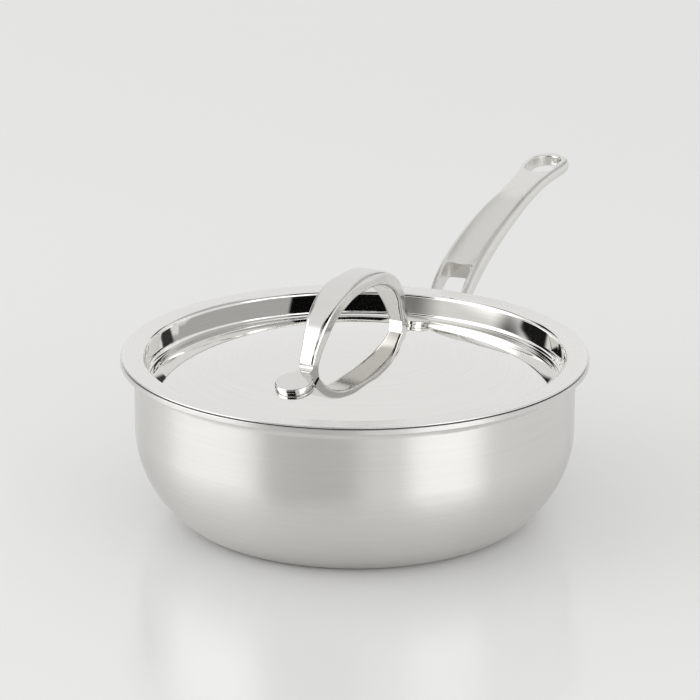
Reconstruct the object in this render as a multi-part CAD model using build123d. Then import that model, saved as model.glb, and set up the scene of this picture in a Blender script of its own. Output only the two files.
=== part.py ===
from build123d import *
import math
import os

# Saucier pan with a lift-off lid, in millimetres.
# The origin is the centre of the base's underside, +Z is up and the long handle points along +X.

# Bowl, measured on its outside
wall_radius = 122.5
lip_width = 7.5
lip_height = 91.6
bowl_round_radius = 60.7
bowl_round_height = 51.5
base_edge_radius = 15.0
lip_bend_radius = 5.0
rim_edge_round = 0.3

# Cladding, from the outside in
skin_thickness = 0.5
core_thickness = 1.9
lining_thickness = 0.4

# Lid, one pressed sheet, measured on its upper side
lid_thickness = 1.0
lid_seat_gap = 0.3
lid_edge_setback = 0.8
lid_wall_clearance = 2.1
lid_flange_bend_radius = 2.5
lid_recess_depth = 15.2
lid_trough_radius = 3.0
lid_dome_radius = 330.0
lid_edge_round = 0.4
lid_turn = -7.2

# Lid loop, a forged strap on two round foot pads
loop_pad_spacing = 130.0
loop_pad_radius = 10.5
loop_pad_thickness = 3.3
loop_pad_edge_round = 1.0
loop_pad_seat_step = 0.7
loop_pad_seat_round = 0.5
loop_crown_rise = 40.3
loop_crown_thickness = 8.3
loop_leg_thickness = 7.0
loop_crown_half_width = 8.0
loop_leg_half_width = 4.8
loop_neck_reach = 11.6
loop_neck_height = 7.6
loop_neck_width = 8.0
loop_neck_cove = 2.4
loop_neck_tuck = 3.0
loop_ledge_step = 1.0
loop_leg_round = 1.6
loop_crown_round = 4.2

# Long handle, measured from the outside of the wall
handle_length = 211.2
handle_root_drop = 12.4
handle_rise = 51.8
handle_depth = 13.2
handle_end_half_width = 12.5
handle_top_round = 5.0
handle_bottom_round = 4.0
fork_slot_width = 15.0
fork_slot_length = 44.0
fork_corner_round = 3.0
dish_half_width = 9.0
dish_depth = 2.6
hang_hole_length = 32.6
hang_hole_width = 15.6
hang_hole_end_wall = 5.0
hang_hole_round = 1.2

# Handle flange on the wall, and its rivets
flange_thickness = 3.5
flange_lobe_radius = 7.5
flange_edge_round = 1.0
flange_wall_margin = 2.5
flange_rivet_spacing = 31.0
rivet_shank_radius = 3.0
rivet_flush_head_radius = 5.6
rivet_flush_head_depth = 1.4
rivet_outer_head_radius = 4.6
rivet_outer_head_height = 1.4

# Lid rivets, from below the sheet into the foot pads
lid_rivet_shank_radius = 3.0
lid_rivet_head_radius = 6.0
lid_rivet_head_height = 1.2
lid_rivet_pad_depth = 2.0

# How far a cutting shape runs past what it cuts
overrun = 2.0

# Middle line of the strap loop, from a leg's foot to the crown:
# shares of its half span and of its rise above the feet
loop_line_shares = ((1.0, 0.0), (0.897, 0.325), (0.770, 0.590), (0.560, 0.815))
# Lean of the legs at their feet, in degrees from level
loop_leg_lean = 66.0
# How much of the half span the widened crown takes up
loop_swell_share = 0.40
loop_sections = 17

# Lean of the fork slot's end wall from upright, in degrees
fork_lean = 15.0

# Stations along the long handle, from the wall to where its rounded end begins:
# shares of its length, its rise, its depth and its end's half width
handle_station_shares = (
    (0.00, 0.000, 0.84, 0.91),
    (0.13, 0.335, 0.98, 0.91),
    (0.21, 0.507, 1.00, 0.92),
    (0.34, 0.672, 0.87, 0.91),
    (0.50, 0.797, 0.75, 0.86),
    (0.68, 0.885, 0.66, 0.77),
    (0.85, 0.953, 0.58, 0.90),
)
# Share of the rise that the end reaches before its tip, and share of the depth at the tip's edge
handle_end_rise_share = 0.985
handle_end_depth_share = 0.62
handle_tip_depth_share = 0.42
handle_tip_angles = (0, 30, 55, 75, 84)
# Most that a round may take of the handle's depth and of its width
handle_round_limit_share = 0.45

# Where along an edge its slope is read, and the steepest slope that a hole's rim has
edge_middle_share = 0.5
rim_slope_share = 0.7

# Depth of the dish along the handle's top: shares of the top's length and of the dish's depth,
# where less than zero is above the top
dish_depth_shares = ((0.12, 1.0), (0.25, 1.0), (0.40, 1.0), (0.53, 0.94), (0.63, 0.5), (0.72, -0.3))

# Sizes that follow from the ones above
wall_thickness = skin_thickness + core_thickness + lining_thickness
lip_radius = wall_radius + lip_width
lip_underside = lip_height - wall_thickness
lip_bend_height = lip_underside - lip_bend_radius
inner_radius = wall_radius - wall_thickness
lid_radius = lip_radius - lid_edge_setback
lid_wall_radius = inner_radius - lid_wall_clearance - lid_thickness
lid_top = lip_height + lid_seat_gap + lid_thickness
lid_trough_height = lid_top - lid_recess_depth
hang_hole_centre = wall_radius + handle_length - hang_hole_end_wall - hang_hole_length / 2


def arc(centre, radius, start_angle, end_angle):
    """Arc about a centre between two angles in degrees, counter-clockwise when the end is larger."""
    return CenterArc(centre, radius, start_angle, end_angle - start_angle)


def band_face(outer, inner):
    """Flat face between two open chains of edges that run the same way."""
    start_cap = Line(inner[0] @ 0, outer[0] @ 0)
    end_cap = Line(outer[-1] @ 1, inner[-1] @ 1)
    return make_face(outer + inner + [start_cap, end_cap])


def turned(profile):
    """Solid of revolution about the pan's axis, from a face drawn as radius and height."""
    return revolve(Plane.YZ * profile, Axis.Z)


def bowl_curve(depth, reach):
    """Half section of the bowl at a depth below its outside, from the axis to the lip's edge."""
    round_x = wall_radius - bowl_round_radius
    centre_gap = bowl_round_radius - base_edge_radius
    drop = bowl_round_height - base_edge_radius
    base_edge_x = round_x + math.sqrt(centre_gap ** 2 - drop ** 2)
    meet_angle = -math.degrees(math.asin(drop / centre_gap))
    bend_x = wall_radius + lip_bend_radius
    wall_x = wall_radius - depth
    lip_z = lip_underside + depth
    return [
        Line((0, depth), (base_edge_x, depth)),
        arc((base_edge_x, base_edge_radius), base_edge_radius - depth, -90, meet_angle),
        arc((round_x, bowl_round_height), bowl_round_radius - depth, meet_angle, 0),
        Line((wall_x, bowl_round_height), (wall_x, lip_bend_height)),
        arc((bend_x, lip_bend_height), lip_bend_radius + depth, 180, 90),
        Line((bend_x, lip_z), (reach, lip_z)),
    ]


def rounded_corner(profile, x, z, radius):
    """Round the corner of a flat profile that lies nearest to a point."""
    corner = profile.vertices().sort_by_distance((x, z, 0))[0]
    return fillet(corner, radius)


def make_outer_skin():
    """Outer skin, with its rim turned up over the core's cut edge."""
    sheet = band_face(bowl_curve(0, lip_radius), bowl_curve(skin_thickness, lip_radius))
    turn_up = Polyline(
        (lip_radius - skin_thickness, lip_underside),
        (lip_radius, lip_underside),
        (lip_radius, lip_height - lining_thickness),
        (lip_radius - skin_thickness, lip_height - lining_thickness),
        close=True,
    )
    profile = sheet + make_face(turn_up)
    profile = rounded_corner(profile, lip_radius, lip_underside, rim_edge_round)
    return turned(profile)


def make_aluminium_core():
    """Core between the two steel sheets, ending inside the turned-up rim."""
    core_edge = lip_radius - skin_thickness
    outer = bowl_curve(skin_thickness, core_edge)
    inner = bowl_curve(skin_thickness + core_thickness, core_edge)
    return turned(band_face(outer, inner))


def make_inner_lining():
    """Cooking surface, which carries on over the lip as its top."""
    outer = bowl_curve(skin_thickness + core_thickness, lip_radius)
    inner = bowl_curve(wall_thickness, lip_radius)
    profile = rounded_corner(band_face(outer, inner), lip_radius, lip_height, rim_edge_round)
    return turned(profile)


def dome_centre_height():
    """Height of the centre of the sphere that the lid's dome is part of."""
    trough_x = lid_wall_radius - lid_trough_radius
    reach = lid_dome_radius + lid_trough_radius
    return lid_trough_height + lid_trough_radius - math.sqrt(reach ** 2 - trough_x ** 2)


def dome_height(radius, depth=0):
    """Height of the dome at a distance from the axis, at a depth below its upper side."""
    return dome_centre_height() + math.sqrt((lid_dome_radius - depth) ** 2 - radius ** 2)


def dome_ball(depth=0):
    """Ball that fills the space under the dome, at a depth below its upper side."""
    return Pos(0, 0, dome_centre_height()) * Rot(0, 0, 90) * Sphere(lid_dome_radius - depth)


def lid_curve(depth):
    """Half section of the lid at a depth below its upper side, from the flange's edge to the axis."""
    bend_x = lid_wall_radius + lid_flange_bend_radius
    bend_z = lid_top - lid_flange_bend_radius
    trough_x = lid_wall_radius - lid_trough_radius
    trough_z = lid_trough_height + lid_trough_radius
    wall_x = lid_wall_radius + depth
    centre_z = dome_centre_height()
    meet_angle = math.degrees(math.atan2(trough_z - centre_z, trough_x))
    return [
        Line((lid_radius, lid_top - depth), (bend_x, lid_top - depth)),
        arc((bend_x, bend_z), lid_flange_bend_radius - depth, 90, 180),
        Line((wall_x, bend_z), (wall_x, trough_z)),
        arc((trough_x, trough_z), lid_trough_radius + depth, 0, meet_angle - 180),
        arc((0, centre_z), lid_dome_radius - depth, meet_angle, 90),
    ]


def make_lid_shell():
    """Pressed lid: flat flange, recess wall, trough and shallow dome in one sheet."""
    profile = band_face(lid_curve(0), lid_curve(lid_thickness))
    profile = rounded_corner(profile, lid_radius, lid_top, lid_edge_round)
    profile = rounded_corner(profile, lid_radius, lid_top - lid_thickness, lid_edge_round)
    return turned(profile)


def pad_frame(side):
    """Place of a foot pad's seat on the dome, with its Z along the dome's normal."""
    seat_x = loop_pad_spacing / 2
    tilt = math.degrees(math.asin(seat_x / lid_dome_radius))
    return Pos(side * seat_x, 0, dome_height(seat_x)) * Rot(0, side * tilt, 0)


def loop_sizes():
    """Half span of the strap's middle line at its feet, the feet's height and the rise above them."""
    half_span = loop_pad_spacing / 2 - loop_neck_reach - loop_leg_thickness / 2
    foot_z = dome_height(loop_pad_spacing / 2) + loop_neck_height
    rise = dome_height(0) + loop_crown_rise - loop_crown_thickness / 2 - foot_z
    return half_span, foot_z, rise


def loop_line():
    """Smooth middle line over both legs and the crown, from one foot to the other."""
    half_span, foot_z, rise = loop_sizes()
    leg = [(half_span * along, foot_z + rise * up) for along, up in loop_line_shares]
    other_leg = [(-x, z) for x, z in reversed(leg)]
    lean_x = math.cos(math.radians(loop_leg_lean))
    lean_z = math.sin(math.radians(loop_leg_lean))
    line = Spline(leg + [(0, foot_z + rise)] + other_leg, tangents=((-lean_x, lean_z), (-lean_x, -lean_z)))
    return Plane.XZ * line


def strap_section(width, thickness, outer_round):
    """Cross section of the strap, with its inner side towards +Y and softer rounds on its outer side."""
    profile = make_face(Rectangle(width, thickness).wires()[0])
    profile = fillet(profile.vertices().group_by(Axis.Y)[0], outer_round)
    return fillet(profile.vertices().group_by(Axis.Y)[-1], loop_leg_round)


def make_arch():
    """Strap of the loop: rounded sections along its middle line, widened and softened at the crown."""
    half_span = loop_sizes()[0]
    line = loop_line()
    sections = []
    for index in range(loop_sections):
        part = index / (loop_sections - 1)
        middle = line @ part
        from_crown = min(abs(middle.X) / (half_span * loop_swell_share), 1)
        swell = math.cos(math.radians(90 * from_crown)) ** 2
        width = 2 * (loop_leg_half_width + (loop_crown_half_width - loop_leg_half_width) * swell)
        height_share = 1 - (2 * part - 1) ** 2
        thickness = loop_leg_thickness + (loop_crown_thickness - loop_leg_thickness) * height_share
        outer_round = loop_leg_round + (loop_crown_round - loop_leg_round) * swell
        place = Plane(origin=middle, x_dir=(0, 1, 0), z_dir=line % part)
        sections.append(place * strap_section(width, thickness, outer_round))
    return loft(sections)


def make_foot(side):
    """Round pad on the dome, and the neck that joins it to the leg."""
    half_span, foot_z, _ = loop_sizes()
    centred = (Align.CENTER, Align.CENTER, Align.MIN)
    disc_height = loop_pad_thickness - loop_pad_seat_step
    disc = Pos(0, 0, loop_pad_seat_step) * Cylinder(loop_pad_radius, disc_height, align=centred)
    disc = fillet(disc.edges().group_by(Axis.Z)[-1], loop_pad_edge_round)
    disc = fillet(disc.edges().group_by(Axis.Z)[0], loop_pad_seat_round)
    seat_radius = loop_pad_radius - loop_pad_seat_step
    seat = Pos(0, 0, -overrun) * Cylinder(seat_radius, overrun + loop_pad_thickness / 2, align=centred)
    pad = pad_frame(side) * (disc + seat)

    tilt = math.asin(loop_pad_spacing / 2 / lid_dome_radius)
    pad_x = loop_pad_spacing / 2 + loop_pad_thickness * math.sin(tilt)
    pad_z = dome_height(loop_pad_spacing / 2) + loop_pad_thickness * math.cos(tilt)
    outer_x = half_span + loop_leg_thickness / 2 - loop_ledge_step
    inner_x = half_span - loop_leg_thickness / 2
    cove_z = pad_z + (pad_x - outer_x) * math.tan(tilt)
    seat_z = dome_height(loop_pad_spacing / 2) - overrun
    top_z = foot_z + loop_neck_tuck
    outline = Polyline(
        (inner_x, top_z),
        (outer_x, top_z),
        (outer_x, cove_z),
        (pad_x, pad_z),
        (pad_x, seat_z),
        (inner_x, seat_z),
        close=True,
    )
    profile = rounded_corner(make_face(outline), outer_x, cove_z, loop_neck_cove)
    neck = extrude(Plane.XZ * profile, loop_neck_width / 2, both=True)
    if side < 0:
        neck = mirror(neck, Plane.YZ)
    return pad + neck


def lid_rivet_body(side):
    """Rivet of the loop: a low head under the sheet and a shank into the foot pad."""
    under_radius = lid_dome_radius - lid_thickness
    head_angle = math.degrees(math.acos(lid_rivet_head_radius / under_radius))
    shank_angle = math.degrees(math.acos(lid_rivet_shank_radius / under_radius))
    head_bottom = -lid_thickness - lid_rivet_head_height
    seat = arc((0, -lid_dome_radius), under_radius, head_angle, shank_angle)
    rim = seat @ 0
    neck = seat @ 1
    outline = [
        Line((0, head_bottom), (lid_rivet_head_radius - lid_rivet_head_height, head_bottom)),
        Line((lid_rivet_head_radius - lid_rivet_head_height, head_bottom), rim),
        seat,
        Line(neck, (neck.X, lid_rivet_pad_depth)),
        Line((neck.X, lid_rivet_pad_depth), (0, lid_rivet_pad_depth)),
        Line((0, lid_rivet_pad_depth), (0, head_bottom)),
    ]
    return pad_frame(side) * turned(make_face(outline))


def make_lid_loop():
    """Forged loop with its two feet, seated on the dome and turned with the lid."""
    loop = make_arch() + make_foot(1) + make_foot(-1)
    loop = loop - dome_ball()
    for side in (1, -1):
        loop = loop - lid_rivet_body(side)
    return loop


def handle_section(x, top, depth, half_width):
    """Upright cross section of the handle, with larger rounds above and smaller ones below."""
    low = top - depth
    corners = ((-half_width, low), (half_width, low), (half_width, top), (-half_width, top))
    profile = make_face(Polyline(*corners, close=True))
    limit = min(depth, half_width) * handle_round_limit_share
    top_round = min(handle_top_round, limit)
    bottom_round = min(handle_bottom_round, limit)
    profile = fillet(profile.vertices().group_by(Axis.Y)[-1], top_round)
    profile = fillet(profile.vertices().group_by(Axis.Y)[0], bottom_round)
    return Plane.YZ.offset(x) * profile


def handle_stations():
    """Place, top, depth and half width of each section of the handle, from the wall to the tip."""
    root_z = lip_underside - handle_root_drop
    stations = []
    for along, up, deep, wide in handle_station_shares:
        x = wall_radius + handle_length * along
        stations.append((x, root_z + handle_rise * up, handle_depth * deep, handle_end_half_width * wide))
    end_x = wall_radius + handle_length - handle_end_half_width
    for angle in handle_tip_angles:
        across = math.cos(math.radians(angle))
        forward = math.sin(math.radians(angle))
        up = handle_end_rise_share + (1 - handle_end_rise_share) * forward
        deep = handle_tip_depth_share + (handle_end_depth_share - handle_tip_depth_share) * across
        x = end_x + handle_end_half_width * forward
        stations.append((x, root_z + handle_rise * up, handle_depth * deep, handle_end_half_width * across))
    return stations


def make_handle_bar():
    """Forged bar of the handle, from the wall to its rounded tip."""
    return loft([handle_section(*station) for station in handle_stations()])


def make_dish_cutter():
    """Round bar that runs just above the handle's top and scoops the dish out of it."""
    radius = (dish_half_width ** 2 + dish_depth ** 2) / (2 * dish_depth)
    top = Spline([(x, z) for x, z, _, _ in handle_stations()])
    path = []
    for along, deep in dish_depth_shares:
        place = top.position_at(along)
        slope = top.tangent_at(along)
        lift = radius - dish_depth * deep
        path.append((place.X - slope.Y * lift, place.Y + slope.X * lift))
    line = Plane.XZ * Spline(path)
    start = Plane(origin=line @ 0, z_dir=line % 0)
    return sweep(start * Circle(radius), path=line)


def make_fork_cutter():
    """Slot that forks the handle's root, from the wall to the crotch."""
    reach = lip_height + handle_rise
    slot = Pos(-wall_radius / 2, 0) * Rectangle(wall_radius, fork_slot_width)
    slot = fillet(slot.vertices().group_by(Axis.X)[-1], fork_corner_round)
    cutter = extrude(slot, reach) + extrude(slot, -reach)
    return Pos(wall_radius + fork_slot_length, 0, lip_height) * Rot(0, -fork_lean, 0) * cutter


def make_hang_hole_cutter():
    """Oval hole at the handle's end."""
    oval = Pos(hang_hole_centre, 0) * SlotOverall(hang_hole_length, hang_hole_width)
    return extrude(oval, lip_height + handle_rise)


def round_hang_hole(bar):
    """Round both rims of the hang hole."""
    rims = []
    for edge in bar.edges():
        place = edge.center()
        along = abs(place.X - hang_hole_centre) - hang_hole_length / 2
        across = abs(place.Y) - hang_hole_width / 2
        level = abs(edge.tangent_at(edge_middle_share).Z) < rim_slope_share
        if along < hang_hole_round and across < hang_hole_round and level:
            rims.append(edge)
    return fillet(rims, hang_hole_round)


def flange_rivet_frames():
    """Places of the three rivets on the wall's outside, with their Z pointing outward."""
    turn_share = flange_rivet_spacing / 2 / wall_radius
    turn = math.degrees(turn_share)
    upper_z = lip_bend_height - flange_wall_margin - flange_lobe_radius
    lower_z = bowl_round_height + flange_wall_margin + flange_lobe_radius
    return {
        "handle_rivet_left": Rot(0, 0, turn) * Pos(wall_radius, 0, upper_z) * Rot(0, 90, 0),
        "handle_rivet_right": Rot(0, 0, -turn) * Pos(wall_radius, 0, upper_z) * Rot(0, 90, 0),
        "handle_rivet_lower": Pos(wall_radius, 0, lower_z) * Rot(0, 90, 0),
    }


def make_flange():
    """Curved plate at the handle's root, with a lobe round each rivet."""
    upper_z = lip_bend_height - flange_wall_margin - flange_lobe_radius
    lower_z = bowl_round_height + flange_wall_margin + flange_lobe_radius
    half_spread = flange_rivet_spacing / 2
    rivets = Polyline((-half_spread, upper_z), (0, lower_z), (half_spread, upper_z), close=True)
    outline = offset(make_face(rivets), flange_lobe_radius)
    block = extrude(Plane.YZ * outline, lip_radius + flange_thickness)
    plate = block & Cylinder(wall_radius + flange_thickness, 2 * lip_height)
    plate = fillet(plate.edges().filter_by(lambda edge: edge.center().X > wall_radius), flange_edge_round)
    return plate - Cylinder(wall_radius, 2 * lip_height)


def handle_rivet_body(frame):
    """Rivet through the wall and the flange, wider at both ends; its inner end isn't trimmed yet."""
    centred = (Align.CENTER, Align.CENTER, Align.MIN)
    outside = flange_thickness
    shank = Pos(0, 0, -wall_thickness) * Cylinder(
        rivet_shank_radius, wall_thickness + outside + rivet_outer_head_height / 2, align=centred
    )
    taper = rivet_flush_head_radius - rivet_shank_radius
    head = Pos(0, 0, -wall_thickness - overrun) * Cone(
        rivet_flush_head_radius + taper * overrun / rivet_flush_head_depth,
        rivet_shank_radius,
        overrun + rivet_flush_head_depth,
        align=centred,
    )
    cap_radius = (rivet_outer_head_radius ** 2 + rivet_outer_head_height ** 2) / (2 * rivet_outer_head_height)
    cap = Pos(0, 0, outside + rivet_outer_head_height - cap_radius) * Sphere(cap_radius)
    cap = cap & Pos(0, 0, outside) * Cylinder(rivet_outer_head_radius, rivet_outer_head_height, align=centred)
    return frame * (shank + head + cap)


def make_handle_rivet(body):
    """Handle rivet with its inner head ground flush with the lining."""
    return body - Cylinder(inner_radius, 2 * lip_height)


def make_long_handle(rivet_bodies):
    """Forged handle: dished bar with a forked root, a flange on the wall and an oval hang hole."""
    bar = make_handle_bar() - make_dish_cutter() - make_fork_cutter() - make_hang_hole_cutter()
    handle = round_hang_hole(bar) - Cylinder(wall_radius, 2 * lip_height) + make_flange()
    for body in rivet_bodies:
        handle = handle - body
    return handle


def make_parts():
    """Every piece of the pan and its lid, by name."""
    rivet_bodies = {name: handle_rivet_body(frame) for name, frame in flange_rivet_frames().items()}
    parts = {
        "outer_skin": make_outer_skin(),
        "aluminium_core": make_aluminium_core(),
        "inner_lining": make_inner_lining(),
    }
    for name in parts:
        for body in rivet_bodies.values():
            parts[name] = parts[name] - body
    parts["long_handle"] = make_long_handle(rivet_bodies.values())
    for name, body in rivet_bodies.items():
        parts[name] = make_handle_rivet(body)

    lid_rivets = {"lid_rivet_front": lid_rivet_body(-1), "lid_rivet_back": lid_rivet_body(1)}
    lid = {"lid_shell": make_lid_shell(), "lid_loop": make_lid_loop()}
    for rivet in lid_rivets.values():
        lid["lid_shell"] = lid["lid_shell"] - rivet
    lid.update(lid_rivets)
    for name, piece in lid.items():
        parts[name] = Rot(0, 0, lid_turn) * piece
    return parts


os.makedirs("parts", exist_ok=True)
for name, piece in make_parts().items():
    export_step(piece, f"parts/{name}.step")
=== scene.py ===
import logging
import math
from collections.abc import Callable
from dataclasses import dataclass, field
from enum import Enum

import bpy
import numpy as np
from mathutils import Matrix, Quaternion, Vector


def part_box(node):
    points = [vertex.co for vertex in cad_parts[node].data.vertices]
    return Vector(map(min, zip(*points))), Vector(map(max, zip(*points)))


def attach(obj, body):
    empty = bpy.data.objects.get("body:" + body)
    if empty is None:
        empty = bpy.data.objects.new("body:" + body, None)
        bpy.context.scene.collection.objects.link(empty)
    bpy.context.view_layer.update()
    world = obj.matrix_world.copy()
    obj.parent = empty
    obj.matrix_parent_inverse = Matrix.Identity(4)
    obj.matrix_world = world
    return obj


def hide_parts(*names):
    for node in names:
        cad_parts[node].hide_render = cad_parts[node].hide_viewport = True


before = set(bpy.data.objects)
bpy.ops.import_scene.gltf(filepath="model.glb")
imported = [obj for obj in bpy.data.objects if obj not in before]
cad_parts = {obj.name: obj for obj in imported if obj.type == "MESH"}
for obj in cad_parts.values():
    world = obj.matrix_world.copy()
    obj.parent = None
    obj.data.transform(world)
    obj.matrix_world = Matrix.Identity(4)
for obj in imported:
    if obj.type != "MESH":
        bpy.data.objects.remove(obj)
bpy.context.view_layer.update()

LOG = logging.getLogger("saucier_pan")
MM = 0.001

# Makes a Map Range node ease into its range and out of it.
SMOOTH = {"interpolation_type": "SMOOTHSTEP"}
# Detail and roughness of the noises that draw brush lines, bead marks and smudges.
BRUSH_NOISE = {"Detail": 3.0, "Roughness": 0.6}
BEAD_NOISE = {"Detail": 2.0, "Roughness": 0.5}
SMUDGE_NOISE = {"Detail": 4.0, "Roughness": 0.55}
# Values of the line and smudge noises between which each goes from nothing to full.
LINE_RANGE = (0.25, 0.75)
SMUDGE_RANGE = (0.4, 0.7)
# Radius in mm at which the lines around the axis have their stated length.
LINE_RADIUS = 120.0
# Smudges roughen a zone with its own finish by this share of what they do elsewhere.
ZONE_SMUDGE_SHARE = 1 / 3
QUARTER_TURN = 0.25
# Step in mm to each side of a point, short enough for the surface to be flat across it.
NORMAL_STEP = 0.01
# Normals whose upward share is under this are crossed with the upright, the others with the X axis.
UPRIGHT_LIMIT = 0.9

Tree = bpy.types.NodeTree
# What feeds an input: an output, or a node that stands for its first output.
Output = bpy.types.NodeSocket | bpy.types.Node
Points = np.ndarray


class Grain(Enum):
    """How a metal surface was last worked."""

    AROUND = "brushed around the pan's axis"
    BLASTED = "blasted with fine beads"
    POLISHED = "polished to a mirror"


def linear(hex_colour: str) -> tuple[float, float, float, float]:
    """Turn an sRGB colour into the linear one that a shader takes.

    Args:
        hex_colour: Colour as #rrggbb.

    Returns:
        Linear red, green and blue, and full alpha.
    """
    shares = [int(hex_colour[start:start + 2], 16) / 255 for start in (1, 3, 5)]
    red, green, blue = [s / 12.92 if s <= 0.04045 else ((s + 0.055) / 1.055) ** 2.4 for s in shares]
    return red, green, blue, 1.0


def add_node(
    tree: Tree, kind: str, *values: object, inputs: dict | None = None, **settings: object
) -> bpy.types.Node:
    """Add a node with its settings, its fixed values and its links.

    Args:
        tree: Node tree that the node joins.
        kind: Blender's name of the node type.
        values: For its first inputs in order, a value or the output that feeds it.
        inputs: The same for its other inputs, by name or place.
        settings: Properties of the node itself.

    Returns:
        The new node.
    """
    node = tree.nodes.new(kind)
    for name, value in settings.items():
        setattr(node, name, value)
    for key, value in (dict(enumerate(values)) | (inputs or {})).items():
        if isinstance(value, bpy.types.Node):
            value = value.outputs[0]
        if isinstance(value, bpy.types.NodeSocket):
            tree.links.new(value, node.inputs[key])
        else:
            node.inputs[key].default_value = value
    return node


def empty_tree(owner: bpy.types.ID) -> Tree:
    """Give a material, a lamp or a world an empty node tree.

    Args:
        owner: What the tree belongs to.

    Returns:
        The tree.
    """
    owner.use_nodes = True
    owner.node_tree.nodes.clear()
    return owner.node_tree


@dataclass(frozen=True)
class RoundPlace:
    """A surface point's place about the pan's axis, as outputs in a node tree."""

    point: Output
    direction: Output
    radius: Output
    height: Output


def round_place(tree: Tree) -> RoundPlace:
    """Give each surface point its direction and distance from the axis and its height.

    Args:
        tree: Node tree to add to.

    Returns:
        The four outputs.
    """
    point = add_node(tree, "ShaderNodeTexCoord").outputs["Object"]
    flat = add_node(tree, "ShaderNodeVectorMath", point, (1.0, 1.0, 0.0), operation="MULTIPLY")
    direction = add_node(tree, "ShaderNodeVectorMath", flat, operation="NORMALIZE")
    radius = add_node(tree, "ShaderNodeVectorMath", flat, operation="LENGTH").outputs["Value"]
    height = add_node(tree, "ShaderNodeSeparateXYZ", point).outputs["Z"]
    return RoundPlace(point, direction, radius, height)


@dataclass(frozen=True)
class WorkedMetal:
    """Metal with one surface process.

    The colour and roughness are those of the cleanly worked surface, and sizes are in mm.
    """

    name: str
    grain: Grain
    colour: str = "#e4e3e0"
    roughness: float = 0.30
    anisotropy: float = 0.0
    # Gap between brush lines or beads, drawn about twice as coarse as the real one so that it shows
    line_spacing: float = 0.7
    line_length: float = 70.0
    # How deep the lines are, and how much they change the colour and the roughness
    line_depth: float = 0.004
    line_tint: float = 0.05
    # How wide the smudges are, and what they add to the roughness
    smudge_size: float = 55.0
    smudge_roughness: float = 0.04

    def lines(self, tree: Tree, place: RoundPlace) -> Output:
        """Draw the brush lines or bead marks.

        Args:
            tree: Node tree to add to.
            place: Where each surface point is.

        Returns:
            The output with the pattern, from 0 to 1.
        """
        per_line = 1 / (self.line_spacing * MM)
        if self.grain is Grain.AROUND:
            turns = {"Scale": LINE_RADIUS / self.line_length}
            turn = add_node(tree, "ShaderNodeVectorMath", place.direction, inputs=turns, operation="SCALE")
            outward = add_node(tree, "ShaderNodeMath", place.radius, per_line, operation="MULTIPLY")
            outward = add_node(tree, "ShaderNodeCombineXYZ", 0.0, 0.0, outward)
            vector = add_node(tree, "ShaderNodeVectorMath", turn, outward, operation="ADD")
            rise = add_node(tree, "ShaderNodeMath", place.height, per_line, operation="MULTIPLY")
            inputs = {"Vector": vector, "W": rise, "Scale": 1.0, **BRUSH_NOISE}
            return add_node(tree, "ShaderNodeTexNoise", inputs=inputs, noise_dimensions="4D")
        vector = add_node(tree, "ShaderNodeVectorMath", place.point, (per_line,) * 3, operation="MULTIPLY")
        return add_node(tree, "ShaderNodeTexNoise", inputs={"Vector": vector, "Scale": 1.0, **BEAD_NOISE})

    def smudges(self, tree: Tree, place: RoundPlace) -> Output:
        """Draw the wide soft marks of handling and washing.

        Args:
            tree: Node tree to add to.
            place: Where each surface point is.

        Returns:
            The output with the marks, from 0 to 1.
        """
        inputs = {"Vector": place.point, "Scale": 1 / (self.smudge_size * MM), **SMUDGE_NOISE}
        noise = add_node(tree, "ShaderNodeTexNoise", inputs=inputs)
        return add_node(tree, "ShaderNodeMapRange", noise, *SMUDGE_RANGE, 0.0, 1.0, **SMOOTH)


@dataclass(frozen=True)
class ZoneFinish:
    """Finish of part of a surface: its roughness, the share of line depth that it keeps, and the share of
    colour that it keeps, which paints shade where it is under 1.
    """

    roughness: float
    line_share: float = 1.0
    brightness: float = 1.0


@dataclass(frozen=True)
class Zone:
    """Part of a surface, from 0 outside it to 1 inside, and its finish."""

    mask: Output
    finish: ZoneFinish


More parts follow.
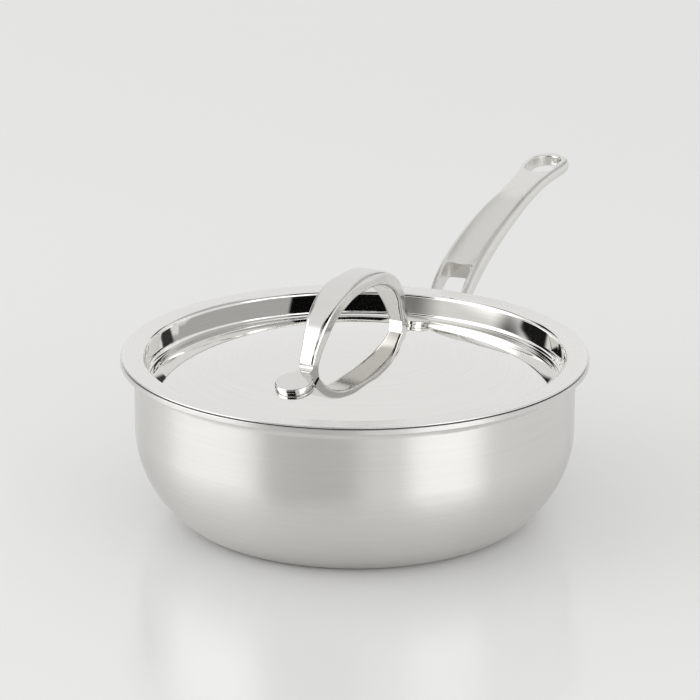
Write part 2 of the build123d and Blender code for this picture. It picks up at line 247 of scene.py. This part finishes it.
def metal_material(
    metal: WorkedMetal, zones_of: Callable[[Tree, RoundPlace], list[Zone]] | None = None
) -> bpy.types.Material:
    """Make the material of a worked metal, with the zones that the piece has.

    Args:
        metal: The main finish.
        zones_of: Function that takes the tree and the place and returns the zones, or None.

    Returns:
        The material.
    """
    material = bpy.data.materials.new(metal.name)
    tree = empty_tree(material)
    place = round_place(tree)
    lines = metal.lines(tree, place)
    smudges = metal.smudges(tree, place)

    tint = add_node(tree, "ShaderNodeMapRange", lines, *LINE_RANGE, 1 - metal.line_tint, 1.0, **SMOOTH)
    clean = linear(metal.colour)[:3]
    colour = add_node(tree, "ShaderNodeVectorMath", clean, inputs={"Scale": tint}, operation="SCALE")
    roughness: float | Output = metal.roughness
    for marks, share in ((smudges, metal.smudge_roughness), (lines, metal.line_tint)):
        roughness = add_node(tree, "ShaderNodeMath", marks, share, roughness, operation="MULTIPLY_ADD")

    depth: float | Output = 1.0
    for zone in zones_of(tree, place) if zones_of else []:
        finish = zone.finish
        share = metal.smudge_roughness * ZONE_SMUDGE_SHARE
        inside = add_node(tree, "ShaderNodeMath", smudges, share, finish.roughness, operation="MULTIPLY_ADD")
        inputs = {"Factor": zone.mask, 2: roughness, 3: inside}
        roughness = add_node(tree, "ShaderNodeMix", inputs=inputs, data_type="FLOAT")
        # A zone can darken its colour by the share that it keeps: painted shade.
        kept, shade = (
            add_node(tree, "ShaderNodeMapRange", zone.mask, 0.0, 1.0, 1.0, full, **SMOOTH)
            for full in (finish.line_share, finish.brightness)
        )
        depth = add_node(tree, "ShaderNodeMath", depth, kept, operation="MULTIPLY")
        colour = add_node(tree, "ShaderNodeVectorMath", colour, inputs={"Scale": shade}, operation="SCALE")

    inputs = {"Strength": depth, "Distance": metal.line_depth * MM, "Height": lines}
    bump = add_node(tree, "ShaderNodeBump", inputs=inputs)
    inputs = {"Base Color": colour, "Roughness": roughness, "Metallic": 1.0, "Normal": bump}
    if metal.anisotropy:
        # Brush lines spread a highlight across themselves, so the tangent is turned a quarter.
        tangent = add_node(tree, "ShaderNodeTangent", direction_type="RADIAL", axis="Z")
        inputs["Anisotropic"] = metal.anisotropy
        inputs["Anisotropic Rotation"] = QUARTER_TURN
        inputs["Tangent"] = tangent
    shader = add_node(tree, "ShaderNodeBsdfPrincipled", inputs=inputs)
    add_node(tree, "ShaderNodeOutputMaterial", shader)
    return material


def packed(node: str) -> bpy.types.Object:
    """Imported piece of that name."""
    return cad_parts[node]


def dress(piece: bpy.types.Object, material: bpy.types.Material) -> bpy.types.Object:
    """Give a piece its material in every slot.

    Args:
        piece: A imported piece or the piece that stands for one.
        material: What it is made of.

    Returns:
        The same piece.
    """
    if not piece.material_slots:
        piece.data.materials.append(material)
    for slot in piece.material_slots:
        slot.material = material
    return piece


def ease(values: np.ndarray, start: float, end: float) -> np.ndarray:
    """Rise smoothly from 0 at the start to 1 at the end.

    Args:
        values: Numbers to map.
        start: Value that gives 0.
        end: Value that gives 1.

    Returns:
        The shares, from 0 to 1.
    """
    share = np.clip((values - start) / (end - start), 0.0, 1.0)
    return share * share * (3 - 2 * share)


def reshaped(node: str, name: str, body: str, move: Callable[[Points], Points]) -> bpy.types.Object:
    """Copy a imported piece, move the copy's points smoothly, and let it stand for the piece.

    Args:
        node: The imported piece.
        name: The new piece's name.
        body: The body that it rides on.
        move: Function that takes points as rows, in metres, and returns where they go.

    Returns:
        The new piece.
    """
    mesh = packed(node).data.copy()
    points = np.empty(len(mesh.vertices) * 3)
    mesh.vertices.foreach_get("co", points)
    points = points.reshape(-1, 3)
    corners = np.empty(len(mesh.loops), dtype=int)
    mesh.loops.foreach_get("vertex_index", corners)
    normals = np.array([corner.vector for corner in mesh.corner_normals])
    # Each corner's normal is carried along by moving two short steps on the surface beside it.
    aside = np.where(np.abs(normals[:, 2:]) < UPRIGHT_LIMIT, (0.0, 0.0, 1.0), (1.0, 0.0, 0.0))
    first = np.cross(normals, aside)
    first /= np.linalg.norm(first, axis=1, keepdims=True)
    steps = [NORMAL_STEP * MM * way for way in (first, np.cross(normals, first))]
    spots = points[corners]
    carried = np.cross(*[move(spots + step) - move(spots - step) for step in steps])
    carried /= np.linalg.norm(carried, axis=1, keepdims=True)
    mesh.vertices.foreach_set("co", move(points).ravel())
    mesh.normals_split_custom_set(carried.tolist())
    piece = bpy.data.objects.new(name, mesh)
    bpy.context.scene.collection.objects.link(piece)
    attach(piece, body)
    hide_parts(node)
    return piece


@dataclass
class Bowl:
    """The clad bowl: outer skin, aluminium core and inner lining."""

    # Brushed 18/10 stainless steel. The lines run around the wall, so lights spread up and down on it.
    skin: WorkedMetal = WorkedMetal(
        "brushed_stainless_skin", Grain.AROUND, roughness=0.29, anisotropy=0.75
    )
    # The same steel inside, brushed finer, so that it shines a little more.
    lining: WorkedMetal = WorkedMetal(
        "brushed_stainless_lining", Grain.AROUND, roughness=0.26, anisotropy=0.6
    )
    # Rolled aluminium, dull and a little darker, hidden between the two steel sheets.
    core: WorkedMetal = WorkedMetal(
        "rolled_aluminium_core", Grain.AROUND, colour="#c9cacc", roughness=0.45
    )

    def build(self) -> list[bpy.types.Object]:
        """Dress the three layers.

        Returns:
            The bowl's pieces.
        """
        layers = {"outer_skin": self.skin, "aluminium_core": self.core, "inner_lining": self.lining}
        return [dress(packed(node), metal_material(metal)) for node, metal in layers.items()]


@dataclass
class Lid:
    """The pressed lid with its forged loop and two rivets, in mm and degrees."""

    # Flange, and the blend from its brushed side to the polished well
    flange_width: float = 11.5
    flange_blend: float = 1.2
    # Satin top of the loop's crown, measured down from the top, and its blend into the polish
    crown_depth: float = 7.0
    crown_blend: float = 9.0
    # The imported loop: its turn about the axis, half its span, its half widths and its crown's share
    turn: float = -7.2
    leg_spread: float = 49.9
    leg_half_width: float = 4.8
    crown_half_width: float = 8.0
    crown_share: float = 0.40
    # How far the wider strap goes beyond the legs' half width, all along it and at its crown, and the
    # power by which that falls off towards the feet
    foot_widening: float = 0.2
    crown_widening: float = 4.2
    widening_power: float = 2.6
    # Height at which the strap starts to widen, and the height over which it does
    leg_start: float = 96.0
    leg_blend: float = 20.0
    # Pressed stainless sheet: a brushed flange, and a well that is polished to a mirror.
    sheet: WorkedMetal = WorkedMetal(
        "pressed_stainless_lid",
        Grain.AROUND,
        colour="#f1f0ed",
        roughness=0.24,
        anisotropy=0.5,
        line_spacing=0.6,
        line_depth=0.003,
    )
    well_finish: ZoneFinish = ZoneFinish(0.035, line_share=0.06)
    # Forged stainless steel, polished to a mirror on its legs and left satin on top of the crown.
    loop: WorkedMetal = WorkedMetal(
        "polished_forged_loop",
        Grain.POLISHED,
        roughness=0.07,
        line_spacing=0.5,
        line_depth=0.0006,
        line_tint=0.01,
    )
    crown_finish: ZoneFinish = ZoneFinish(0.24)
    # Turned stainless rivets with a smooth satin head.
    rivet: WorkedMetal = WorkedMetal(
        "turned_stainless_rivet", Grain.POLISHED, roughness=0.2, line_depth=0.001
    )

    def well(self, tree: Tree, place: RoundPlace) -> list[Zone]:
        """Find the mirror zone inside the flange.

        Args:
            tree: Node tree to add to.
            place: Where each surface point is.

        Returns:
            The zone, in a list.
        """
        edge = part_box("inner_lining")[1].x - (self.flange_width + self.flange_blend) * MM
        ends = (edge, edge + self.flange_blend * MM)
        mask = add_node(tree, "ShaderNodeMapRange", place.radius, *ends, 1.0, 0.0, **SMOOTH)
        return [Zone(mask, self.well_finish)]

    def crown(self, tree: Tree, place: RoundPlace) -> list[Zone]:
        """Find the satin zone on top of the loop's crown.

        Args:
            tree: Node tree to add to.
            place: Where each surface point is.

        Returns:
            The zone, in a list.
        """
        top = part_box("lid_loop")[1].z
        ends = (top - (self.crown_depth + self.crown_blend) * MM, top - self.crown_depth * MM)
        mask = add_node(tree, "ShaderNodeMapRange", place.height, *ends, 0.0, 1.0, **SMOOTH)
        return [Zone(mask, self.crown_finish)]

    def widen_strap(self, points: Points) -> Points:
        """Widen the loop's strap from its legs up to the crown, as the forging has it.

        Args:
            points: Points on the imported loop, in metres.

        Returns:
            The same points on the wider strap.
        """
        turn = math.radians(self.turn)
        along = points[:, 0] * math.cos(turn) + points[:, 1] * math.sin(turn)
        across = points[:, 1] * math.cos(turn) - points[:, 0] * math.sin(turn)
        share = np.clip(np.abs(along) / (self.leg_spread * MM), 0.0, 1.0)
        swell = np.cos(np.minimum(share / self.crown_share, 1.0) * math.pi / 2) ** 2
        packed_half = self.leg_half_width + (self.crown_half_width - self.leg_half_width) * swell
        gain = self.foot_widening + self.crown_widening * (1 - share ** self.widening_power)
        wider_half = self.leg_half_width + gain
        grow = ease(points[:, 2], self.leg_start * MM, (self.leg_start + self.leg_blend) * MM)
        across = across * (1 + (wider_half / packed_half - 1) * grow)
        x = along * math.cos(turn) - across * math.sin(turn)
        y = along * math.sin(turn) + across * math.cos(turn)
        return np.stack([x, y, points[:, 2]], axis=1)

    def build(self) -> list[bpy.types.Object]:
        """Dress the shell and the rivets, and widen and dress the loop.

        Returns:
            The lid's pieces.
        """
        shell = dress(packed("lid_shell"), metal_material(self.sheet, self.well))
        loop = reshaped("lid_loop", "forged_lid_loop", "lid", self.widen_strap)
        dress(loop, metal_material(self.loop, self.crown))
        metal = metal_material(self.rivet)
        rivets = [dress(packed(f"lid_rivet_{side}"), metal) for side in ("front", "back")]
        return [shell, loop, *rivets]


@dataclass
class LongHandle:
    """The forged long handle and its three rivets, in mm."""

    # Hang hole, and how far past its edge the polish reaches
    hole_length: float = 32.6
    hole_width: float = 15.6
    hole_end_wall: float = 5.0
    polish_reach: float = 0.8
    # Where the bar's gain in width begins and how far it takes to grow, its share, and the sideways slope
    widening_start: float = 128.0
    widening_blend: float = 14.0
    widening_share: float = 0.11
    swing_slope: float = 0.0045
    # Polished end wall of the fork's slot: from where to where, and the normal's X over which it fades out
    slot_wall_start: float = 149.0
    slot_wall_end: float = 184.0
    slot_wall_facing: tuple[float, float] = (-0.85, -0.6)
    # Dish in the bar's top: from where to where, its fade, half width and edge, and the normal's Z over
    # which it sets in
    dish_start: float = 164.0
    dish_end: float = 262.0
    dish_fade: float = 22.0
    dish_half_width: float = 9.6
    dish_edge: float = 0.7
    dish_facing: tuple[float, float] = (0.3, 0.6)
    # Length over which a zone along the bar sets in
    zone_edge: float = 1.0
    # Forged stainless steel, bead-blasted to an even pale satin. The walls of the hang hole and of the fork's
    # end are polished, and the dish is darkened a little with painted shade, the shade that its hollow would
    # catch.
    bar: WorkedMetal = WorkedMetal(
        "blasted_forged_handle",
        Grain.BLASTED,
        colour="#edece8",
        roughness=0.34,
        line_spacing=0.6,
        line_depth=0.006,
    )
    # The dish keeps 0.86 of the colour: painted shade in its hollow.
    dish_finish_and_painted_shade: ZoneFinish = ZoneFinish(0.31, brightness=0.86)
    polished_finish: ZoneFinish = ZoneFinish(0.1, line_share=0.2)
    # Turned stainless rivets, ground flush inside the bowl.
    rivet: WorkedMetal = WorkedMetal(
        "ground_stainless_rivet", Grain.POLISHED, roughness=0.25, line_depth=0.001
    )

    def widen_bar(self, points: Points) -> Points:
        """Widen the bar past the bowl's lip and swing it a little, as it is on the real pan.

        Args:
            points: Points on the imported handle, in metres.

        Returns:
            The same points on the wider bar.
        """
        start = self.widening_start * MM
        out = ease(points[:, 0], start, start + self.widening_blend * MM)
        swing = self.swing_slope * np.maximum(points[:, 0] - start, 0.0)
        across = points[:, 1] * (1 + self.widening_share * out) + swing * out
        return np.stack([points[:, 0], across, points[:, 2]], axis=1)

    def stretch(self, tree: Tree, along: Output, start: float, end: float, fade: float) -> Output:
        """Mark a stretch of the bar.

        Args:
            tree: Node tree to add to.
            along: Place along the bar.
            start: Where the stretch begins, in mm.
            end: Where it ends, in mm.
            fade: Length over which it fades out before its end, in mm.

        Returns:
            The output with the mark, from 0 to 1.
        """
        rise = (start * MM, (start + self.zone_edge) * MM, 0.0, 1.0)
        fall = ((end - fade) * MM, end * MM, 1.0, 0.0)
        ends = [add_node(tree, "ShaderNodeMapRange", along, *ramp, **SMOOTH) for ramp in (rise, fall)]
        return add_node(tree, "ShaderNodeMath", *ends, operation="MULTIPLY")

    def hole_wall(self, tree: Tree, along: Output, across: Output) -> Output:
        """Mark the hang hole's wall and its rounded rims.

        Args:
            tree: Node tree to add to.
            along: Place along the bar.
            across: Place across the bar.

        Returns:
            The output with the mark, from 0 to 1.
        """
        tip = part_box("long_handle")[1].x
        centre = tip - (self.hole_end_wall + self.hole_length / 2) * MM
        half_line = (self.hole_length - self.hole_width) / 2 * MM
        away = add_node(tree, "ShaderNodeMath", along, centre, operation="SUBTRACT")
        away = add_node(tree, "ShaderNodeMath", away, operation="ABSOLUTE")
        past = add_node(tree, "ShaderNodeMath", away, half_line, operation="SUBTRACT")
        past = add_node(tree, "ShaderNodeMath", past, 0.0, operation="MAXIMUM")
        squares = [add_node(tree, "ShaderNodeMath", way, way, operation="MULTIPLY") for way in (past, across)]
        reach = add_node(tree, "ShaderNodeMath", *squares, operation="ADD")
        reach = add_node(tree, "ShaderNodeMath", reach, operation="SQRT")
        edge = self.hole_width / 2 * MM
        ends = (edge, edge + self.polish_reach * MM)
        return add_node(tree, "ShaderNodeMapRange", reach, *ends, 1.0, 0.0, **SMOOTH)

    def slot_wall(self, tree: Tree, along: Output, facing: Output) -> Output:
        """Mark the end wall of the fork's slot.

        Args:
            tree: Node tree to add to.
            along: Place along the bar.
            facing: Share of the normal that points away from the pan.

        Returns:
            The output with the mark, from 0 to 1.
        """
        end_wall = add_node(
            tree, "ShaderNodeMapRange", facing, *self.slot_wall_facing, 1.0, 0.0, **SMOOTH
        )
        slot = self.stretch(tree, along, self.slot_wall_start, self.slot_wall_end, self.zone_edge)
        return add_node(tree, "ShaderNodeMath", end_wall, slot, operation="MULTIPLY")

    def dish(self, tree: Tree, along: Output, across: Output, facing: Output) -> Output:
        """Mark the dish in the bar's top.

        Args:
            tree: Node tree to add to.
            along: Place along the bar.
            across: Place across the bar.
            facing: Share of the normal that points up.

        Returns:
            The output with the mark, from 0 to 1.
        """
        side = add_node(tree, "ShaderNodeMath", across, operation="ABSOLUTE")
        ends = ((self.dish_half_width - self.dish_edge) * MM, self.dish_half_width * MM)
        middle = add_node(tree, "ShaderNodeMapRange", side, *ends, 1.0, 0.0, **SMOOTH)
        upward = add_node(tree, "ShaderNodeMapRange", facing, *self.dish_facing, 0.0, 1.0, **SMOOTH)
        bottom = add_node(tree, "ShaderNodeMath", middle, upward, operation="MULTIPLY")
        length = self.stretch(tree, along, self.dish_start, self.dish_end, self.dish_fade)
        return add_node(tree, "ShaderNodeMath", bottom, length, operation="MULTIPLY")

    def zones(self, tree: Tree, place: RoundPlace) -> list[Zone]:
        """Find the dish, darkened with painted shade, and the polished walls of the hang hole and of the
        fork's end.

        Args:
            tree: Node tree to add to.
            place: Where each surface point is.

        Returns:
            The two zones.
        """
        spot = add_node(tree, "ShaderNodeSeparateXYZ", place.point).outputs
        normal = add_node(tree, "ShaderNodeTexCoord").outputs["Normal"]
        facing = add_node(tree, "ShaderNodeSeparateXYZ", normal).outputs
        walls = (
            self.hole_wall(tree, spot["X"], spot["Y"]),
            self.slot_wall(tree, spot["X"], facing["X"]),
        )
        polished = add_node(tree, "ShaderNodeMath", *walls, operation="MAXIMUM")
        dish = self.dish(tree, spot["X"], spot["Y"], facing["Z"])
        return [Zone(dish, self.dish_finish_and_painted_shade), Zone(polished, self.polished_finish)]

    def build(self) -> list[bpy.types.Object]:
        """Widen and dress the handle, and dress its rivets.

        Returns:
            The handle and its rivets.
        """
        handle = reshaped("long_handle", "forged_long_handle", "pan", self.widen_bar)
        dress(handle, metal_material(self.bar, self.zones))
        metal = metal_material(self.rivet)
        rivets = [dress(packed(f"handle_rivet_{place}"), metal) for place in ("left", "right", "lower")]
        return [handle, *rivets]


def edge_fade(tree: Tree, across: Output, up: Output, softness: float) -> Output:
    """Fade from 1 in the middle of a panel to 0 at its edges.

    Args:
        tree: Node tree to add to.
        across: Place across the panel, from -1 to 1.
        up: Place up the panel, from -1 to 1.
        softness: Share of each half that the fade takes up.

    Returns:
        The output with the fade.
    """
    away = [add_node(tree, "ShaderNodeMath", way, operation="ABSOLUTE") for way in (across, up)]
    ramp = (1 - softness, 1.0, 1.0, 0.0)
    sides = [add_node(tree, "ShaderNodeMapRange", distance, *ramp, **SMOOTH) for distance in away]
    return add_node(tree, "ShaderNodeMath", *sides, operation="MULTIPLY")


@dataclass(frozen=True)
class Panel:
    """A flat panel that faces the pan.

    The bearing and rise are in degrees about the pan, the distance and size in metres, and the softness is
    the share of each half that fades out to the edge. A bearing of 0 is towards the camera, and a positive
    one is to the right in the picture.
    """

    name: str
    bearing: float
    rise: float
    distance: float
    width: float
    height: float
    softness: float


@dataclass(frozen=True)
class SoftLight(Panel):
    """A soft light with its power in watts."""

    power: float


@dataclass(frozen=True)
class Card(Panel):
    """A glowing board that only reflections see, in one shade of grey: a painted reflection."""

    shade: str


def flat_board(name: str, width: float, height: float, material: bpy.types.Material) -> bpy.types.Object:
    """Make a flat board about its middle.

    Args:
        name: Name of the board.
        width: Width along X, in metres.
        height: Height along Y, in metres.
        material: What it is made of.

    Returns:
        The board.
    """
    x, y = width / 2, height / 2
    mesh = bpy.data.meshes.new(name)
    mesh.from_pydata([(-x, -y, 0), (x, -y, 0), (x, y, 0), (-x, y, 0)], [], [(0, 1, 2, 3)])
    mesh.materials.append(material)
    board = bpy.data.objects.new(name, mesh)
    bpy.context.scene.collection.objects.link(board)
    return board


@dataclass
class Studio:
    """Pale floor, soft lights, cards for the reflections and the camera.

    The camera's places are written in mm and its roll in degrees. Its clips and the floor are in metres.
    """

    camera_place: Vector = field(default_factory=lambda: Vector((-1521.8, -637.7, 624.1)) * MM)
    camera_target: Vector = field(default_factory=lambda: Vector((-1.05, 2.49, 93.4)) * MM)
    camera_roll: float = 0.13
    lens: float = 160.66
    clips: tuple[float, float] = (0.05, 50.0)
    floor_size: float = 12.0
    floor_colour: str = "#f3f3f2"
    floor_roughness: float = 0.16
    floor_ior: float = 1.5
    room_colour: str = "#eeeeee"
    room_light: float = 0.89
    room_shown: float = 1.0
    lights: tuple[SoftLight, ...] = (
        SoftLight("left_soft_light", -78, 22, 1.8, 2.4, 1.8, 0.55, 18),
        SoftLight("right_soft_light", 46, 14, 2.0, 1.7, 1.1, 0.4, 10.5),
    )
    cards: tuple[Card, ...] = (
        Card("front_high_card", 11, 54, 2.2, 1.9, 1.1, 0.08, "#0c0c0c"),
        Card("front_left_grey_card", -42, 52, 2.3, 1.4, 1.3, 0.9, "#868686"),
        Card("front_low_card", -22, 16, 2.4, 2.3, 1.3, 0.15, "#1c1c1c"),
        Card("right_grey_card", 66, 50, 2.4, 2.2, 1.4, 0.15, "#b8b8b8"),
        Card("rear_right_grey_card", 120, 46, 2.4, 2.0, 1.4, 0.15, "#b8b8b8"),
        Card("left_rear_card", -139, 26, 2.3, 1.1, 0.9, 0.3, "#1c1c1c"),
        Card("left_grey_card", -119, 44, 2.3, 1.0, 1.4, 0.9, "#606060"),
        Card("rear_right_card", 148, 24, 2.3, 0.5, 0.8, 0.3, "#3a3a3a"),
    )

    def put(self, thing: bpy.types.Object, panel: Panel, front: str) -> None:
        """Put a panel in its place, aim it at the middle of the pan and hide it from the camera.

        Args:
            thing: The lamp or the board.
            panel: Where it goes.
            front: Axis of its own that faces the pan.
        """
        turn = math.atan2(self.camera_place.y, self.camera_place.x) + math.radians(panel.bearing)
        level = panel.distance * math.cos(math.radians(panel.rise))
        height = panel.distance * math.sin(math.radians(panel.rise))
        thing.location = (level * math.cos(turn), level * math.sin(turn), height)
        thing.rotation_mode = "QUATERNION"
        thing.rotation_quaternion = (self.camera_target - thing.location).to_track_quat(front, "Y")
        thing.visible_camera = False

    def make_floor(self) -> bpy.types.Object:
        """Lay a floor that keeps the pan's shadow and mirrors it softly.

        Returns:
            The floor.
        """
        # Polished pale stone, smooth enough to mirror the pan and a little blurred by its fine grain.
        material = bpy.data.materials.new("polished_pale_stone")
        tree = empty_tree(material)
        colour = linear(self.floor_colour)
        inputs = {"Base Color": colour, "Roughness": self.floor_roughness, "IOR": self.floor_ior}
        shader = add_node(tree, "ShaderNodeBsdfPrincipled", inputs=inputs)
        add_node(tree, "ShaderNodeOutputMaterial", shader)
        floor = flat_board("floor", self.floor_size, self.floor_size, material)
        return floor

    def make_room(self) -> None:
        """Make the world, which is pale behind the pan and in its reflections and lights it evenly."""
        world = bpy.data.worlds.new("studio_room")
        bpy.context.scene.world = world
        tree = empty_tree(world)
        rays = add_node(tree, "ShaderNodeLightPath").outputs
        seen = add_node(
            tree, "ShaderNodeMath", rays["Is Camera Ray"], rays["Is Glossy Ray"], operation="MAXIMUM"
        )
        seen = add_node(tree, "ShaderNodeMath", seen, rays["Is Transmission Ray"], operation="MAXIMUM")
        colour = linear(self.room_colour)
        lit = add_node(tree, "ShaderNodeBackground", colour, self.room_light)
        shown = add_node(tree, "ShaderNodeBackground", colour, self.room_shown)
        mixed = add_node(tree, "ShaderNodeMixShader", seen, lit, shown)
        add_node(tree, "ShaderNodeOutputWorld", mixed)

    def make_light(self, light: SoftLight) -> bpy.types.Object:
        """Add one soft light, aimed at the middle of the pan.

        Args:
            light: The light's place, size and power.

        Returns:
            The lamp.
        """
        data = bpy.data.lights.new(light.name, "AREA")
        data.shape = "RECTANGLE"
        data.size = light.width
        data.size_y = light.height
        data.energy = light.power
        lamp = bpy.data.objects.new(light.name, data)
        bpy.context.scene.collection.objects.link(lamp)
        self.put(lamp, light, "-Z")

        tree = empty_tree(data)
        place = add_node(tree, "ShaderNodeNewGeometry").outputs["Parametric"]
        sides = add_node(tree, "ShaderNodeSeparateXYZ", place).outputs
        # The place on a lamp runs from 0 to 1 each way, and the fade takes it from -1 to 1.
        across, up = (
            add_node(tree, "ShaderNodeMath", sides[axis], 2.0, -1.0, operation="MULTIPLY_ADD")
            for axis in ("X", "Y")
        )
        fade = edge_fade(tree, across, up, light.softness)
        glow = add_node(tree, "ShaderNodeEmission", inputs={"Strength": fade})
        add_node(tree, "ShaderNodeOutputLight", glow)
        return lamp

    def make_card(self, card: Card) -> bpy.types.Object:
        """Add one card that is seen only in reflections and fades out at its edges.

        Args:
            card: The card's place, size and shade.

        Returns:
            The card's board.
        """
        # Board that glows evenly in its shade of grey and is seen only in reflections: a painted reflection
        # that no lamp changes.
        material = bpy.data.materials.new("glowing_reflection_card")
        tree = empty_tree(material)
        place = add_node(tree, "ShaderNodeTexCoord").outputs["Object"]
        sides = add_node(tree, "ShaderNodeSeparateXYZ", place).outputs
        across = add_node(tree, "ShaderNodeMath", sides["X"], card.width / 2, operation="DIVIDE")
        up = add_node(tree, "ShaderNodeMath", sides["Y"], card.height / 2, operation="DIVIDE")
        fade = edge_fade(tree, across, up, card.softness)
        clear = add_node(tree, "ShaderNodeBsdfTransparent")
        shade = add_node(tree, "ShaderNodeEmission", linear(card.shade))
        mixed = add_node(tree, "ShaderNodeMixShader", fade, clear, shade)
        add_node(tree, "ShaderNodeOutputMaterial", mixed)

        board = flat_board(card.name, card.width, card.height, material)
        self.put(board, card, "Z")
        board.visible_diffuse = False
        board.visible_shadow = False
        return board

    def make_camera(self) -> bpy.types.Object:
        """Set the camera at the photograph's angle, with its small roll.

        Returns:
            The camera.
        """
        data = bpy.data.cameras.new("camera")
        data.lens = self.lens
        data.clip_start, data.clip_end = self.clips
        camera = bpy.data.objects.new("camera", data)
        bpy.context.scene.collection.objects.link(camera)
        camera.location = self.camera_place
        camera.rotation_mode = "QUATERNION"
        aim = (self.camera_target - self.camera_place).to_track_quat("-Z", "Y")
        camera.rotation_quaternion = aim @ Quaternion((0, 0, 1), math.radians(self.camera_roll))
        bpy.context.scene.camera = camera
        return camera

    def build(self) -> list[bpy.types.Object]:
        """Make the whole studio.

        Returns:
            The camera, the floor, the lamps and the cards.
        """
        bpy.context.scene.view_settings.view_transform = "Standard"
        base = [self.make_camera(), self.make_floor()]
        self.make_room()
        lamps = [self.make_light(light) for light in self.lights]
        return base + lamps + [self.make_card(card) for card in self.cards]


def main() -> None:
    """Build every sub-assembly in order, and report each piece."""
    for assembly in (Bowl(), Lid(), LongHandle(), Studio()):
        for piece in assembly.build():
            LOG.info("%s: %s is in place", type(assembly).__name__, piece.name)


if __name__ == "__main__":
    logging.basicConfig(level=logging.INFO, format="%(message)s")
    main()
